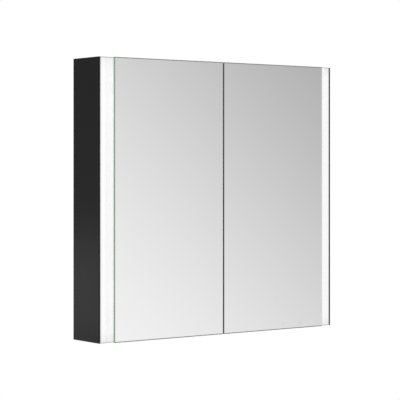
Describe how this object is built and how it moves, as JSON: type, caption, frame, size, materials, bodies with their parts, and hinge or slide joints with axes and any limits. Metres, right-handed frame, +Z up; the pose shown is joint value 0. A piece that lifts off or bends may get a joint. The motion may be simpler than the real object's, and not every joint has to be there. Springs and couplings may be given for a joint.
{
  "type": "medicine cabinet",
  "caption": "Wall-hung mirror cabinet with side-hung mirrored doors, glass shelves, black sides and a vertical light strip along each edge.",
  "frame": {"origin": "Centre of the back plane that lies against the wall, at mid width and mid height.", "axes": "+X runs to the right as seen from the front, +Y goes into the wall, +Z points up; the doors face -Y."},
  "size_m": [0.75, 0.127, 0.7],
  "materials": {
    "black_aluminium": "black anodised, satin",
    "satin_aluminium": "natural anodised, satin",
    "opal_acrylic": "opal white, satin, lit from behind",
    "mirror_glass": "silvered float glass, ground edges",
    "clear_glass": "clear float glass, polished edges",
    "bright_steel": "nickel plated",
    "black_steel": "black powder-coated sheet",
    "zinc_steel": "zinc coated sheet",
    "white_plastic": "moulded, fine texture",
    "grey_plastic": "moulded, satin",
    "black_rubber": "moulded, matt",
    "clear_silicone": "translucent, soft",
    "circuit_board": "white solder mask",
    "magnet_black": "plastic-bound magnet"
  },
  "bodies": {
    "cabinet": {"left_side_panel": "black_aluminium", "left_light_profile": "satin_aluminium", "left_diffuser": "opal_acrylic", "left_led_board": "circuit_board", "left_top_cap": "grey_plastic", "left_bottom_cap": "grey_plastic", "left_rear_mirror": "mirror_glass", "left_rear_cover": "zinc_steel", "left_wall_hanger": "zinc_steel", "left_lower_shelf": "clear_glass", "left_upper_shelf": "clear_glass", "left_door_magnet": "magnet_black", "left_levelling_screw": "bright_steel", "left_wall_buffer": "black_rubber", "left_upper_hinge_wall_leaf": "satin_aluminium", "left_lower_hinge_wall_leaf": "satin_aluminium", "left_upper_hinge_pin": "bright_steel", "left_lower_hinge_pin": "bright_steel", "left_upper_bumper": "clear_silicone", "left_lower_bumper": "clear_silicone", "right_side_panel": "black_aluminium", "right_light_profile": "satin_aluminium", "right_diffuser": "opal_acrylic", "right_led_board": "circuit_board", "right_top_cap": "grey_plastic", "right_bottom_cap": "grey_plastic", "right_rear_mirror": "mirror_glass", "right_rear_cover": "zinc_steel", "right_wall_hanger": "zinc_steel", "right_lower_shelf": "clear_glass", "right_upper_shelf": "clear_glass", "right_door_magnet": "magnet_black", "right_levelling_screw": "bright_steel", "right_wall_buffer": "black_rubber", "right_upper_hinge_wall_leaf": "satin_aluminium", "right_lower_hinge_wall_leaf": "satin_aluminium", "right_upper_hinge_pin": "bright_steel", "right_lower_hinge_pin": "bright_steel", "right_upper_bumper": "clear_silicone", "right_lower_bumper": "clear_silicone", "top_deck": "black_aluminium", "bottom_deck": "black_aluminium", "centre_partition": "satin_aluminium", "rear_wall": "zinc_steel", "rear_stiffener": "zinc_steel", "cable_grommet": "black_rubber", "terminal_block": "white_plastic", "light_driver": "white_plastic", "touch_sensor": "white_plastic"},
    "left_door": {"left_door_front_mirror": "mirror_glass", "left_door_back_mirror": "mirror_glass", "left_door_core": "black_steel", "left_upper_hinge_door_leaf": "satin_aluminium", "left_lower_hinge_door_leaf": "satin_aluminium"},
    "right_door": {"right_door_front_mirror": "mirror_glass", "right_door_back_mirror": "mirror_glass", "right_door_core": "black_steel", "right_upper_hinge_door_leaf": "satin_aluminium", "right_lower_hinge_door_leaf": "satin_aluminium"}
  },
  "joints": [
    {"name": "left_door_hinge", "type": "hinge", "parent": "cabinet", "child": "left_door", "pos_m": [-0.3307, -0.11835, 0], "axis": [0, 0, -1], "range_deg": [0, 105]},
    {"name": "right_door_hinge", "type": "hinge", "parent": "cabinet", "child": "right_door", "pos_m": [0.3307, -0.11835, 0], "axis": [0, 0, 1], "range_deg": [0, 105]}
  ]
}
